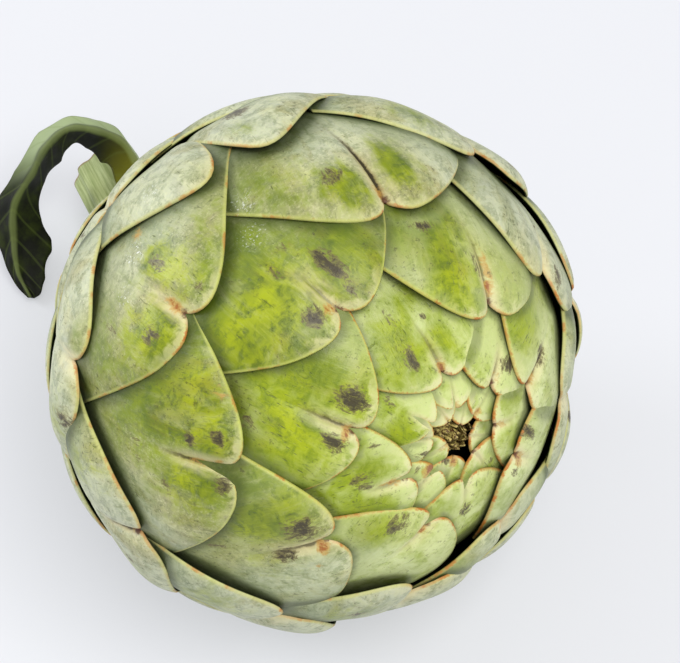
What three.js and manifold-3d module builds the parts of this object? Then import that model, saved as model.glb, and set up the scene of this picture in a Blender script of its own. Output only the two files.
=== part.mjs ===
// Globe artichoke, picked with a short stem: a head of overlapping notched bracts,
// the cut stem, and one small leaf that still grows from it. It lies on its side.
//
// Millimetres, +Z up. The origin is the middle of the small flat spot the head rests
// on. The crown of the head looks toward -Y and upward, and the stem runs toward +Y.
import * as THREE from "three";
import { mergeVertices } from "three/addons/utils/BufferGeometryUtils.js";
import Module from "manifold-3d";

const wasm = await Module();
wasm.setup();

const { degToRad, clamp, lerp, smoothstep } = THREE.MathUtils;

// ---- Driving dimensions ------------------------------------------------------

// The head is a slightly flattened globe.
const HEAD_RADIUS = 53; // from the axis to the widest bract tips
const HEAD_HALF_HEIGHT = 47.5; // from the middle of the head to its crown
const HEAD_PITCH = 32.7; // degrees that the crown looks up from level
const ARC_RADIUS = 50; // turns millimetres over the globe into angles about its middle
const FLAT_DEPTH = 2; // how much of the lowest bract tips the resting spot takes off

// The core is the smooth body that the bracts grow from.
const CORE_INSET_SIDE = 4; // below the bract tips, at the widest part
const CORE_INSET_END = 6.2; // below the crown, so a hollow stays in its middle

// The bracts follow one spiral, numbered from the crown outward. Each stands on the
// golden angle from the last, and each outer one lies over those inside it.
const BRACT_COUNT = 61;
const GOLDEN_ANGLE = 137.478;
const FIRST_AZIMUTH = 45.9;
// [bract number, polar angle of its notch from the crown in degrees]
const NOTCH_SPACING = [
  [0, 2], [10, 7.6], [16, 16], [22, 32.5], [28, 49.5],
  [34, 70], [40, 91], [50, 121], [60, 145],
];
// How single bracts lean out of the spiral, in degrees: round the axis, toward the stem
// and, for some, the turn about the notch. The tips with a fourth number below 1 are
// narrower, and those above 1 are blunter.
const LEAN = {
  8: [4, -1], 9: [5, 1], 10: [-6, 2], 11: [8, -2.5], 12: [5, 1], 13: [-14, 0.8, -16, 1.3],
  14: [16, 0, 13, 1.2], 15: [0, 4], 16: [-9, -2.5, -10, 1.3], 17: [9, 1, 18],
  18: [-9, 0, -18], 19: [6, -1.5, 15], 20: [6, 5], 21: [-13, -2.5, -19], 22: [3, 1, 11],
  23: [1, 1], 24: [-2, -1.5, 0], 25: [3, -0.5, 6], 26: [-8.5, -0.5, -12], 27: [2, 2, 11],
  28: [4, -1], 29: [-1.5, -2.5, 2], 30: [6, 3, 7], 31: [3, -2, 2, 0.7],
  32: [0.5, 0, 8.5, 0.8], 33: [0, 7], 34: [-7, -4, -2], 35: [2, 2.5, 0],
  37: [0, -2.5, 6, 0.88], 38: [0, 7], 39: [0, 4], 40: [0, -1.5, 2, 0.75], 42: [0, 5],
  43: [0, 7], 45: [0, 5], 48: [0, 7], 50: [0, 4],
};
// How much deeper than usual the notch of single bracts is torn, in mm.
const SPLIT = {
  20: 2, 23: 2.5, 25: 5, 26: 2.5, 28: 3, 30: 3.5, 31: 3, 34: 9, 37: 16, 40: 3,
};
// The bracts without a row lean by a seeded draw within these limits, which come in
// past the crowded crown.
const LOOSENESS = [4, 2, 6];
const LOOSE_START = 18; // polar angle where they begin to lean
const LOOSE_SPAN = 60; // degrees over which they reach the limits
// Millimetres that the tips of the looser bracts stand off the ones below.
const LIFT = {
  7: 0.5, 10: 0.8, 12: 0.5, 13: 0.6, 14: 0.5, 15: 1.3, 16: 0.6, 17: 0.7, 18: 1, 19: 0.6,
  20: 1.2, 21: 1.2, 22: 0.9, 23: 1.3, 24: 1, 25: 1.2, 26: 1.2, 27: 0.9, 28: 1.2, 29: 1.2,
  30: 0.9, 31: 1.8, 32: 1.2, 33: 0.2, 34: 1.2, 35: 0.8, 37: 1.6, 38: 0, 39: 0, 40: 0.7,
  42: 0.2, 43: 0, 45: 0.2, 48: 0, 50: 0,
};
const LOOSE_LIFT = 1.2; // the others stand off by a seeded draw of up to this much
const LIFT_REACH = 17; // mm from a tip over which its lift fades

const FULL_HALF_WIDTH = 29.5; // of a bract on the widest part of the head
const FIRST_HALF_WIDTH = 3; // of the innermost
const WIDTH_GROWTH = 20; // degrees from the crown over which the bracts widen
const WIDTH_RISE = 1.5; // above 1, the smallest ones stay small for longer
const SHRINK_START = 90; // polar angle past which they get smaller toward the stem
const SHRINK_SPAN = 75;
const SHRINK_LIMIT = 0.85; // share of that span after which they shrink no more
const MARGIN_BOW = 0.75; // how far the margin falls at the sides, as a share of the half width
const LOBE_HEIGHT = 0.155; // of the two lobes above the notch, likewise
const LOBES_FROM = [4, 11]; // polar angles where the lobes begin and are full
const NOTCH_WIDTH = 0.075; // likewise
const TWIST = 2; // degrees that each bract is turned about its notch
const ROOT_NARROWING = 0.72; // width at the root as a share of the widest
const ROOT_LENGTH = 14; // a bract's length is this much more than...
const ROOT_PER_WIDTH = 1.25; // ...this many half widths
const SLOPE = 0.065; // how fast a bract dives under the tips that follow it
const CROWN_SLOPE = 0.22; // the extra dive of the crowded bracts at the crown
const CROWN_REACH = 12; // degrees over which that extra fades
const DIVE = 0.0006; // how the dive steepens toward the root, per mm
const EDGE_THICKNESS = 0.9;
const THICKENING = 0.5; // how fast the flesh thickens below the margin
const CREASE_DEPTH = 0.5; // of the groove that runs down from the notch
const CREASE_WIDTH = 2.5;
const CREASE_LENGTH = 14;
const BRACT_COLUMNS = 10;
const COLUMN_BUNCHING = 1.5; // above 1, the columns crowd toward the notch
const BRACT_ROWS = 4;
const CORE_SIDES = 28;
const CORE_RINGS = 16;

// The stem starts inside the head, leaves along its axis and flattens to the table.
const STEM_ON_AXIS = [32, 40, 50]; // distances of its first points from the head's middle
const STEM_BEND = [[4, 62, 15.3], [8, 76, 10.4], [12, 90, 7.75]];
const STEM_RADIUS_HEAD = 9;
const STEM_RADIUS_CUT = 7.6;
const STEM_RIBS = 9;
const STEM_RIB_HEIGHT = 0.35;
const STEM_SIDES = 36;
const STEM_STEPS = 14;
const GAP = 0.3; // clearance between pieces that meet

const TABLE_SIZE = 200; // of the block that cuts the flat spot
const SLIVER = 0.05; // mm within which thin triangles along the cuts are merged

// The leaf: from inside the stem it arches up, folds along its rib and droops to the
// table. Each row is one station, with its far edge, its rib and its near edge.
const LEAF_STATIONS = [
  [[8, 66, 12], [7, 67, 15], [4, 67, 14]],
  [[13, 76, 20], [11, 75, 23], [6, 76, 20]],
  [[14, 83, 25], [12, 82, 28], [8, 83, 21]],
  [[12, 90, 29], [8, 86, 32], [6, 86, 24]],
  [[8, 95, 29], [4, 90, 32], [4, 89, 25]],
  [[1, 98, 25], [-1, 92, 28], [2, 92, 20]],
  [[-7, 99, 18], [-5, 93, 21], [-1, 93, 13]],
  [[-13, 99, 11], [-11, 93, 14], [-6, 89, 7]],
  [[-18, 93, 5], [-15, 89, 8], [-8.5, 82, 3]],
  [[-20, 86, 2.5], [-18, 84, 4], [-13.5, 77, 1.3]],
  [[-19.5, 79, 1.2], [-19, 78.5, 1.5], [-18.5, 78, 1.2]],
];
const LEAF_LOBES = 4; // pointed lobes along each edge
const LEAF_CUT = 0.3; // how far the cuts between them run toward the rib
const LEAF_STALK = [0.1, 0.3]; // where along the leaf the cuts begin and are full
const LEAF_THICKNESS = 1.2;
const LEAF_COLUMNS = 6;
const LEAF_ROWS = 36;
const LEAF_STEP = 1e-3; // along and across, for reading which way the surface faces

// ---- Helpers -------------------------------------------------------------------

function material(color, roughness) {
  return new THREE.MeshStandardMaterial({ color, roughness, metalness: 0 });
}

// A closed solid made from a geometry whose corners still have separate vertices.
function toSolid(geometry) {
  geometry.deleteAttribute("normal");
  geometry.deleteAttribute("uv");
  const merged = mergeVertices(geometry, 1e-5);
  return new wasm.Manifold(new wasm.Mesh({
    numProp: 3,
    vertProperties: new Float32Array(merged.attributes.position.array),
    triVerts: new Uint32Array(merged.index.array),
  }));
}

function toGeometry(solid) {
  const mesh = solid.getMesh();
  const geometry = new THREE.BufferGeometry();
  geometry.setAttribute("position", new THREE.BufferAttribute(mesh.vertProperties, 3));
  geometry.setIndex(new THREE.BufferAttribute(mesh.triVerts, 1));
  geometry.computeVertexNormals();
  return geometry;
}

// The biggest body of a solid, without loose scraps, sealed hollows and slivers.
function mainBody(solid) {
  const bodies = solid.simplify(SLIVER).decompose();
  return bodies.reduce((a, b) => (a.volume() > b.volume() ? a : b));
}

// Moves every vertex of a geometry to place(x, y, z).
function reshape(geometry, place) {
  const positions = geometry.attributes.position;
  for (let i = 0; i < positions.count; i += 1) {
    const p = place(positions.getX(i), positions.getY(i), positions.getZ(i));
    positions.setXYZ(i, p.x, p.y, p.z);
  }
  return geometry;
}

// A straight-line reading of a table of [x, y] rows.
function readTable(table, x) {
  const last = table.length - 1;
  const row = clamp(table.findIndex((entry) => entry[0] >= x), 1, last);
  const [x0, y0] = table[row - 1];
  const [x1, y1] = table[row];
  return lerp(y0, y1, (x - x0) / (x1 - x0));
}

// ---- Head ------------------------------------------------------------------------

// A repeatable draw between -1 and 1 for one bract.
function draw(number, kind) {
  const noise = Math.sin(12.9898 * (number + 1) + 78.233 * (kind + 1)) * 43758.5453;
  return 2 * (noise - Math.floor(noise)) - 1;
}

function bractAt(number) {
  const nominal = readTable(NOTCH_SPACING, number);
  const freedom = clamp((nominal - LOOSE_START) / LOOSE_SPAN, 0, 1);
  const drawn = LOOSENESS.map((limit, kind) => limit * freedom * draw(number, kind));
  const [turn, slide, twist = TWIST, breadth = 1] = LEAN[number] ?? drawn;
  const polar = nominal + slide;
  const grown = 1 - Math.exp(-((polar / WIDTH_GROWTH) ** WIDTH_RISE));
  const shrink = clamp((polar - SHRINK_START) / SHRINK_SPAN, 0, SHRINK_LIMIT);
  const halfWidth = lerp(FIRST_HALF_WIDTH, FULL_HALF_WIDTH, grown) * Math.cos(shrink * Math.PI / 2);
  return {
    azimuth: degToRad(FIRST_AZIMUTH + GOLDEN_ANGLE * number + turn),
    polar,
    halfWidth,
    bow: MARGIN_BOW / (breadth * halfWidth),
    lobe: LOBE_HEIGHT * halfWidth * smoothstep(polar, ...LOBES_FROM),
    split: SPLIT[number] ?? 0,
    slope: SLOPE + CROWN_SLOPE * Math.exp(-polar / CROWN_REACH),
    lift: LIFT[number] ?? LOOSE_LIFT * freedom * Math.abs(draw(number, 3)),
    twist: degToRad(twist),
  };
}

// How far the two-lobed margin lies below the notch at `across` mm from the midline.
function marginAt(bract, across) {
  const fromNotch = Math.abs(across) / (NOTCH_WIDTH * bract.halfWidth);
  return bract.bow * across ** 2 - bract.lobe + (bract.lobe + bract.split) * Math.exp(-fromNotch);
}

// The point of a bract `down` mm below its notch and `across` mm from its midline.
function onHead(bract, down, across, depth) {
  const s = down * Math.cos(bract.twist) + across * Math.sin(bract.twist);
  const v = across * Math.cos(bract.twist) - down * Math.sin(bract.twist);
  const polar = degToRad(bract.polar) + s / ARC_RADIUS;
  const side = v / ARC_RADIUS;
  const outward = new THREE.Vector3(
    Math.cos(side) * Math.sin(polar), Math.sin(side), Math.cos(side) * Math.cos(polar));
  const belowTip = (Math.acos(outward.z) - degToRad(bract.polar)) * ARC_RADIUS + bract.lobe;
  const crease = CREASE_DEPTH
    * Math.exp(-((across / CREASE_WIDTH) ** 2) - ((down / CREASE_LENGTH) ** 2));
  const lift = bract.lift * Math.exp(-((belowTip / LIFT_REACH) ** 2));
  const dive = bract.slope * belowTip + DIVE * belowTip * Math.abs(belowTip);
  const fromMargin = Math.max(0, down - bract.bow * across ** 2);
  const thickness = EDGE_THICKNESS + THICKENING * fromMargin;
  const inset = dive + crease - lift + depth * thickness;
  return outward
    .applyAxisAngle(new THREE.Vector3(0, 0, 1), bract.azimuth)
    .multiply(new THREE.Vector3(
      HEAD_RADIUS - inset, HEAD_RADIUS - inset, HEAD_HALF_HEIGHT - inset));
}

function bractSolid(number) {
  const bract = bractAt(number);
  const length = ROOT_LENGTH + ROOT_PER_WIDTH * bract.halfWidth;
  const block = new THREE.BoxGeometry(2, 1, 1, BRACT_COLUMNS, BRACT_ROWS, 1);
  return toSolid(reshape(block, (x, y, z) => {
    const along = y + 0.5; // 0 at the root, 1 at the margin
    const bunched = Math.sign(x) * Math.abs(x) ** COLUMN_BUNCHING;
    const edge = bract.halfWidth * Math.sin(bunched * Math.PI / 2);
    const down = lerp(length, marginAt(bract, edge), along);
    const across = edge * lerp(ROOT_NARROWING, 1, smoothstep(along, 0, 1));
    return onHead(bract, down, across, 0.5 - z);
  }));
}

function headSolid() {
  const globe = new THREE.SphereGeometry(1, CORE_SIDES, CORE_RINGS).rotateX(Math.PI / 2);
  globe.scale(
    HEAD_RADIUS - CORE_INSET_SIDE, HEAD_RADIUS - CORE_INSET_SIDE,
    HEAD_HALF_HEIGHT - CORE_INSET_END);
  let head = toSolid(globe);
  for (let number = 0; number < BRACT_COUNT; number += 1) {
    head = head.add(bractSolid(number));
  }
  return head;
}

// ---- Place of the head ---------------------------------------------------------------

// Lying down, the head's lowest point comes straight above the origin.
const pitch = degToRad(HEAD_PITCH);
const height = Math.hypot(HEAD_RADIUS * Math.cos(pitch), HEAD_HALF_HEIGHT * Math.sin(pitch));
const flattening = HEAD_RADIUS ** 2 - HEAD_HALF_HEIGHT ** 2;
const headMiddle = new THREE.Vector3(
  0, flattening * Math.sin(pitch) * Math.cos(pitch) / height, height - FLAT_DEPTH);
const towardStem = new THREE.Vector3(0, Math.cos(pitch), -Math.sin(pitch));

const lying = new THREE.Group();
lying.rotation.x = Math.PI / 2 - pitch;
lying.position.copy(headMiddle);
lying.updateMatrix();
const intoHead = lying.matrix.clone().invert();

// ---- Stem ------------------------------------------------------------------------

const stemRoute = new THREE.CatmullRomCurve3([
  ...STEM_ON_AXIS.map((distance) => headMiddle.clone().addScaledVector(towardStem, distance)),
  ...STEM_BEND.map((point) => new THREE.Vector3(...point)),
], false, "centripetal");

// A ribbed rod along the stem's route, `extra` mm larger all round.
function stemSolid(extra) {
  const rod = new THREE.CylinderGeometry(1, 1, 1, STEM_SIDES, STEM_STEPS);
  return toSolid(reshape(rod, (x, y, z) => {
    const along = y + 0.5; // 0 in the head, 1 at the cut
    const centre = stemRoute.getPoint(along);
    const ahead = stemRoute.getTangent(along);
    const across = new THREE.Vector3(0, 0, 1).cross(ahead).normalize();
    const upward = across.clone().cross(ahead);
    const around = Math.atan2(z, x);
    const round = lerp(STEM_RADIUS_HEAD, STEM_RADIUS_CUT, along);
    const rib = STEM_RIB_HEIGHT * Math.cos(STEM_RIBS * around);
    const radius = Math.hypot(x, z) * (round + rib + extra);
    return centre
      .addScaledVector(across, radius * Math.cos(around))
      .addScaledVector(upward, radius * Math.sin(around))
      .addScaledVector(ahead, extra * (2 * along - 1));
  }));
}

// ---- Leaf ------------------------------------------------------------------------

const [leafFar, leafRib, leafNear] = [0, 1, 2].map((edge) => new THREE.CatmullRomCurve3(
  LEAF_STATIONS.map((station) => new THREE.Vector3(...station[edge]))));

// The leaf's middle surface: `across` runs from -1 at the far edge to 1 at the near one.
function onLeaf(across, along) {
  const rib = leafRib.getPoint(along);
  const edge = (across < 0 ? leafFar : leafNear).getPoint(along);
  const lobes = Math.abs(Math.sin(LEAF_LOBES * Math.PI * along));
  const reach = Math.abs(across) * (1 - LEAF_CUT * lobes * smoothstep(along, ...LEAF_STALK));
  return rib.lerp(edge, reach);
}

function leafSolid() {
  const blade = new THREE.BoxGeometry(2, 1, 1, LEAF_COLUMNS, LEAF_ROWS, 1);
  return toSolid(reshape(blade, (x, y, z) => {
    const along = clamp(y + 0.5, LEAF_STEP, 1 - LEAF_STEP);
    const right = onLeaf(x + LEAF_STEP, along).sub(onLeaf(x - LEAF_STEP, along));
    const ahead = onLeaf(x, along + LEAF_STEP).sub(onLeaf(x, along - LEAF_STEP));
    const outward = right.cross(ahead).normalize();
    return onLeaf(x, y + 0.5).addScaledVector(outward, z * LEAF_THICKNESS);
  }));
}

// ---- Assembly ----------------------------------------------------------------------

function piece(name, solid, look) {
  const mesh = new THREE.Mesh(toGeometry(mainBody(solid)), look);
  mesh.name = name;
  return mesh;
}

const table = new THREE.BoxGeometry(TABLE_SIZE, TABLE_SIZE, TABLE_SIZE)
  .translate(0, 0, -TABLE_SIZE / 2)
  .applyMatrix4(intoHead);
const socket = toGeometry(stemSolid(GAP)).applyMatrix4(intoHead);
const head = headSolid().subtract(toSolid(table)).subtract(toSolid(socket));
lying.add(piece("head", head, material(0x9db24a, 0.6)));

const artichoke = new THREE.Group();
artichoke.add(lying);
artichoke.add(piece("stem", stemSolid(0), material(0xa9b88a, 0.7)));
artichoke.add(piece("stem_leaf", leafSolid().subtract(stemSolid(GAP)), material(0x6f8448, 0.65)));

export default artichoke;
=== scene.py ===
# %% [markdown]
# # A globe artichoke
#
# An artichoke is a flower bud. What we see is a spiral of thick green scales, which a
# botanist calls bracts, closed tightly over a heart that never shows. This one was cut
# with a short stem, still carries one small leaf, and lies on its side on a table.
#
# The solids of the head, the stem and the leaf are already made and fix every size and
# place. Blender loads them as a frame, and this file dresses them: it grows each bract
# again as a piece of its own, and gives it flesh, wax, veins and bruises.

# %% Load the solids
import math

import bmesh
import bpy
from mathutils import Matrix, Vector, noise


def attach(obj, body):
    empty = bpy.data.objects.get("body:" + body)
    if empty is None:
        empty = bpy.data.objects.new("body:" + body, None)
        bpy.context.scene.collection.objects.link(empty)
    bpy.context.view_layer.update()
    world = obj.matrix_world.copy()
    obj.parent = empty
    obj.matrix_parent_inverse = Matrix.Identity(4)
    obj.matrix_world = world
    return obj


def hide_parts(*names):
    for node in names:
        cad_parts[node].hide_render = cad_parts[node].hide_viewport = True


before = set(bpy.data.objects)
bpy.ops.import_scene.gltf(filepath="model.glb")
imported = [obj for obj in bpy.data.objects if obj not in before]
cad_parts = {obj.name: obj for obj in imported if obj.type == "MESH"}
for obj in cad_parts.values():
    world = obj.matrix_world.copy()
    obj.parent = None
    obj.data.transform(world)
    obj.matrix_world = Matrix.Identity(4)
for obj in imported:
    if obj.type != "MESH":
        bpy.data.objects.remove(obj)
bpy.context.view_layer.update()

# %% [markdown]
# ## Small helpers
#
# Sizes are in millimetres and Blender's unit is the metre, so a point is scaled by `MM`
# when it is placed. The other helpers blend two values, and fade one thing into another.

# %% Blending and fading
MM = 0.001


def clamp(value, low=0.0, high=1.0):
    return max(low, min(high, value))


def lerp(start, end, share):
    return start + (end - start) * share


def smooth(value, start, end):
    share = clamp((value - start) / (end - start))
    return share * share * (3 - 2 * share)


def read_table(table, x):
    """A straight-line reading of a table of (x, y) rows."""
    for (x0, y0), (x1, y1) in zip(table, table[1:]):
        if x <= x1:
            return lerp(y0, y1, (x - x0) / (x1 - x0))
    return table[-1][1]


# %% [markdown]
# ## Where the head lies
#
# The head is a slightly flattened globe. It rests on the table on a small flat spot, and
# its crown looks 32.7 degrees up from level. All bracts are worked out about the head's
# own axis, so one matrix that stands for "turn it, then lay it down here" places them.

# %% The place of the head
HEAD_RADIUS = 53
HEAD_HALF_HEIGHT = 47.5
HEAD_PITCH = math.radians(32.7)
FLAT_DEPTH = 2

lying_height = math.hypot(
    HEAD_RADIUS * math.cos(HEAD_PITCH), HEAD_HALF_HEIGHT * math.sin(HEAD_PITCH))
flattening = HEAD_RADIUS ** 2 - HEAD_HALF_HEIGHT ** 2
head_middle = Vector((
    0,
    flattening * math.sin(HEAD_PITCH) * math.cos(HEAD_PITCH) / lying_height,
    lying_height - FLAT_DEPTH,
)) * MM
head_place = Matrix.Translation(head_middle) @ Matrix.Rotation(math.pi / 2 - HEAD_PITCH, 4, "X")
print("head middle, mm:", [round(c / MM, 2) for c in head_middle])

# %% [markdown]
# ## Camera
#
# The camera looks down on the table from 60 degrees, from the left of the crown, through
# a long lens that keeps the globe round. The shift moves the frame instead of turning the
# camera, so the head sits a little left of the middle and a little below it.

# %% Camera
CAMERA_AZIMUTH = math.radians(-40.5)
CAMERA_ELEVATION = math.radians(60)
CAMERA_DISTANCE = 450 * MM
CAMERA_LENS = 123.1
CAMERA_SHIFT = (27 / 680, 28.5 / 680)


def put_in_scene(name, data):
    made = bpy.data.objects.new(name, data)
    bpy.context.scene.collection.objects.link(made)
    return made


def face_head(made, direction, distance):
    """Stand an object off the middle of the head, in this direction, and turn it there."""
    toward = Vector(direction).normalized()
    made.location = head_middle + toward * distance
    made.rotation_euler = toward.to_track_quat("Z", "Y").to_euler()


toward_camera = (
    math.sin(CAMERA_AZIMUTH) * math.cos(CAMERA_ELEVATION),
    -math.cos(CAMERA_AZIMUTH) * math.cos(CAMERA_ELEVATION),
    math.sin(CAMERA_ELEVATION),
)
camera = put_in_scene("camera", bpy.data.cameras.new("camera"))
face_head(camera, toward_camera, CAMERA_DISTANCE)
camera.data.sensor_width = 36
camera.data.lens = CAMERA_LENS
camera.data.shift_x, camera.data.shift_y = CAMERA_SHIFT
camera.data.clip_start = 0.01
bpy.context.scene.camera = camera
print("camera stands", round(camera.location.z / MM), "mm above the table")

# %% [markdown]
# ## Table and light
#
# Most of the light comes from a bright room all round. Two windows give it a direction: a
# wide warm one above the crown's side, and a smaller cool one behind and to the left, which
# draws a bright line along the head there. The table is plain, pale and slightly cool. It
# also glows a little, which is painted light: it keeps the table bright, thins the head's
# shadow on it and lights the head a little from below. The view transform is Standard, so
# that a pale table comes out pale.

# %% Table
def add_object(name, mesh):
    """A new object for a bmesh, smooth shaded."""
    data = bpy.data.meshes.new(name)
    mesh.to_mesh(data)
    mesh.free()
    data.shade_smooth()
    return put_in_scene(name, data)


table_mesh = bmesh.new()
bmesh.ops.create_grid(table_mesh, x_segments=1, y_segments=1, size=3)
table = add_object("table", table_mesh)

# %% Light
WINDOW_DISTANCE = 1.3
ROOM_COLOUR = (1, 0.985, 0.95, 1)
ROOM_STRENGTH = 0.64


def add_window(name, direction, size, power, colour):
    """A square lamp that looks at the head from this direction."""
    lamp = bpy.data.lights.new(name, "AREA")
    lamp.size = size
    lamp.energy = power
    lamp.color = colour
    face_head(put_in_scene(name, lamp), direction, WINDOW_DISTANCE)
    print(name, "gives", power, "watts")


add_window(
    "skylight", direction=(0.04, -0.4, 0.91), size=0.8, power=11.8, colour=(1, 0.98, 0.92))
add_window(
    "window_behind", direction=(-0.45, 0.8, 0.4), size=0.5, power=8, colour=(0.98, 0.99, 1))

room = bpy.data.worlds.new("room")
room.use_nodes = True
room_light = room.node_tree.nodes["Background"].inputs
room_light["Color"].default_value = ROOM_COLOUR
room_light["Strength"].default_value = ROOM_STRENGTH
bpy.context.scene.world = room
bpy.context.scene.view_settings.view_transform = "Standard"

# %% [markdown]
# ## Shader maths in Python
#
# A material is a graph of nodes, which hides its meaning when written out node by node.
# So a small class wraps a socket and lets us write `1 - rim * 0.5`. Colours are mixed by a
# Mix node, because a Math node would turn them grey. A second class makes the nodes of one
# material, all by one method.

# %% A socket that can be calculated with
class Shade:
    def __init__(self, finish, socket):
        self.finish = finish
        self.socket = socket

    def maths(self, operation, *others):
        values = dict(enumerate([self, *others]))
        return self.finish.node("ShaderNodeMath", {"operation": operation}, values)

    def __add__(self, other):
        return self.maths("ADD", other)

    def __sub__(self, other):
        return self.maths("SUBTRACT", other)

    def __mul__(self, other):
        return self.maths("MULTIPLY", other)

    def __truediv__(self, other):
        return self.maths("DIVIDE", other)

    def __rsub__(self, other):
        return self.finish.node("ShaderNodeMath", {"operation": "SUBTRACT"}, {0: other, 1: self})

    __radd__ = __add__
    __rmul__ = __mul__

    def abs(self):
        return self.maths("ABSOLUTE")

    def larger(self, other):
        return self.maths("MAXIMUM", other)

    def fade(self, start, end):
        """0 at start and 1 at end, with a smooth step between."""
        settings = {"interpolation_type": "SMOOTHSTEP"}
        values = {"Value": self, "From Min": start, "From Max": end}
        return self.finish.node("ShaderNodeMapRange", settings, values)


# %% A material that makes its own nodes
class Finish:
    def __init__(self, name):
        self.material = bpy.data.materials.new(name)
        self.material.use_nodes = True
        self.tree = self.material.node_tree
        self.skin = self.tree.nodes["Principled BSDF"]

    def node(self, kind, settings=None, values=None, output=0):
        made = self.tree.nodes.new(kind)
        for name, setting in (settings or {}).items():
            setattr(made, name, setting)
        for name, value in (values or {}).items():
            self.feed(made.inputs[name], value)
        return Shade(self, made.outputs[output])

    def feed(self, socket, value):
        if isinstance(value, Shade):
            self.tree.links.new(value.socket, socket)
        else:
            socket.default_value = value

    def surface(self, values):
        """Feed the sockets of the surface itself."""
        for name, value in values.items():
            self.feed(self.skin.inputs[name], value)

    def attribute(self, name):
        return self.node("ShaderNodeAttribute", {"attribute_name": name}, output="Fac")

    def vector_attribute(self, name):
        """The three parts of a vector that each point of the mesh carries."""
        whole = self.node("ShaderNodeAttribute", {"attribute_name": name}, output="Vector")
        split = self.node("ShaderNodeSeparateXYZ", None, {0: whole}).socket.node
        return [Shade(self, part) for part in split.outputs]

    def place(self):
        return self.node("ShaderNodeTexCoord", output="Object")

    def vector(self, x, y, z):
        return self.node("ShaderNodeCombineXYZ", None, {"X": x, "Y": y, "Z": z})

    def distance(self, x, y):
        """How far the point (x, y) lies from (0, 0)."""
        return self.node(
            "ShaderNodeVectorMath", {"operation": "LENGTH"},
            {0: self.vector(x, y, 0.0)}, output="Value")

    def noise(self, vector, scale, detail=3.0, roughness=0.5, distortion=0.0):
        values = {
            "Vector": vector, "Scale": scale, "Detail": detail,
            "Roughness": roughness, "Distortion": distortion,
        }
        return self.node("ShaderNodeTexNoise", None, values)

    def mix(self, start, end, share):
        settings = {"data_type": "RGBA", "clamp_factor": True}
        return self.node("ShaderNodeMix", settings, {0: share, 6: start, 7: end}, output=2)

    def bump(self, height, distance, strength=1.0):
        values = {"Height": height, "Distance": distance, "Strength": strength}
        return self.node("ShaderNodeBump", None, values, output="Normal")


def tint(red, green, blue):
    """A colour given the way a paint program shows it, from 0 to 255."""
    def linear(channel):
        share = channel / 255
        return share / 12.92 if share < 0.04045 else ((share + 0.055) / 1.055) ** 2.4
    return (linear(red), linear(green), linear(blue), 1)


# %% Table finish
tabletop = Finish("tabletop")
cloudy = tabletop.noise(tabletop.place(), 3.0, 2.0)
tabletop.surface({
    "Base Color": tabletop.mix(tint(166, 169, 176), tint(170, 173, 180), cloudy),
    "Roughness": 0.6,
    # Painted light: the table glows a little, which keeps it bright, thins the head's shadow on
    # it and lights the head from below.
    "Emission Color": tint(240, 240, 246),
    "Emission Strength": 0.41,
})
table.data.materials.append(tabletop.material)

# %% [markdown]
# ## The spiral of bracts
#
# Plants set each new leaf at the golden angle, 137.5 degrees, from the last, and the
# bracts of an artichoke follow that rule closely. So a bract's number gives its place round
# the head, and a table gives how far from the crown its notch lies. Real bracts are pushed
# about by their neighbours, and a second table holds those small leans. Bracts without a
# row lean by a repeatable draw.

# %% The spiral and its leans
BRACT_COUNT = 61
GOLDEN_ANGLE = 137.478
FIRST_AZIMUTH = 45.9
# The number of a bract, and how many degrees from the crown its notch lies.
NOTCH_SPACING = [
    (0, 2), (10, 7.6), (16, 16), (22, 32.5), (28, 49.5),
    (34, 70), (40, 91), (50, 121), (60, 145),
]
# Degrees round the axis, toward the stem and, for some, turned about the notch. A fourth
# number above 1 makes a broader tip, and one below 1 a narrower tip.
LEAN = {
    8: (4, -1), 9: (5, 1), 10: (-6, 2), 11: (8, -2.5), 12: (5, 1), 13: (-14, 0.8, -16, 1.3),
    14: (16, 0, 13, 1.2), 15: (0, 4), 16: (-9, -2.5, -10, 1.3), 17: (9, 1, 18),
    18: (-9, 0, -18), 19: (6, -1.5, 15), 20: (6, 5), 21: (-13, -2.5, -19), 22: (3, 1, 11),
    23: (1, 1), 24: (-2, -1.5, 0), 25: (3, -0.5, 6), 26: (-8.5, -0.5, -12), 27: (2, 2, 11),
    28: (4, -1), 29: (-1.5, -2.5, 2), 30: (6, 3, 7), 31: (3, -2, 2, 0.7),
    32: (0.5, 0, 8.5, 0.8), 33: (0, 7), 34: (-7, -4, -2), 35: (2, 2.5, 0),
    37: (0, -2.5, 6, 0.88), 38: (0, 7), 39: (0, 4), 40: (0, -1.5, 2, 0.75), 42: (0, 5),
    43: (0, 7), 45: (0, 5), 48: (0, 7), 50: (0, 4),
}
# How much deeper than usual the notch of single bracts is torn, in mm.
SPLIT = {
    20: 2, 23: 2.5, 25: 5, 26: 2.5, 28: 3, 30: 3.5, 31: 3, 34: 9, 37: 16, 40: 3,
}
# The most that the other bracts lean by, in degrees. They lean more and more from
# LOOSE_START degrees off the crown on, over LOOSE_SPAN degrees.
LOOSENESS = (4, 2, 6)
LOOSE_START = 18
LOOSE_SPAN = 60
PLAIN_TWIST = 2
# How many mm the tips of single bracts stand off the ones below. Below 0 they tuck in.
LIFT = {
    7: 0.5, 10: 0.8, 12: 0.5, 13: 0.6, 14: 0.5, 15: 1.3, 16: 0.6, 17: 0.7, 18: 1, 19: 0.6,
    20: 1.2, 21: 1.2, 22: 0.9, 23: 1.3, 24: 1, 25: 1.2, 26: 1.2, 27: 0.9, 28: 1.2, 29: 1.2,
    30: 0.9, 31: 1.8, 32: 1.2, 33: 0.2, 34: 1.2, 35: 0.8, 37: 1.6, 38: 0, 39: 0, 40: 0.7,
    42: -0.9, 43: 0, 45: -0.7, 48: 0, 50: 0,
}
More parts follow.
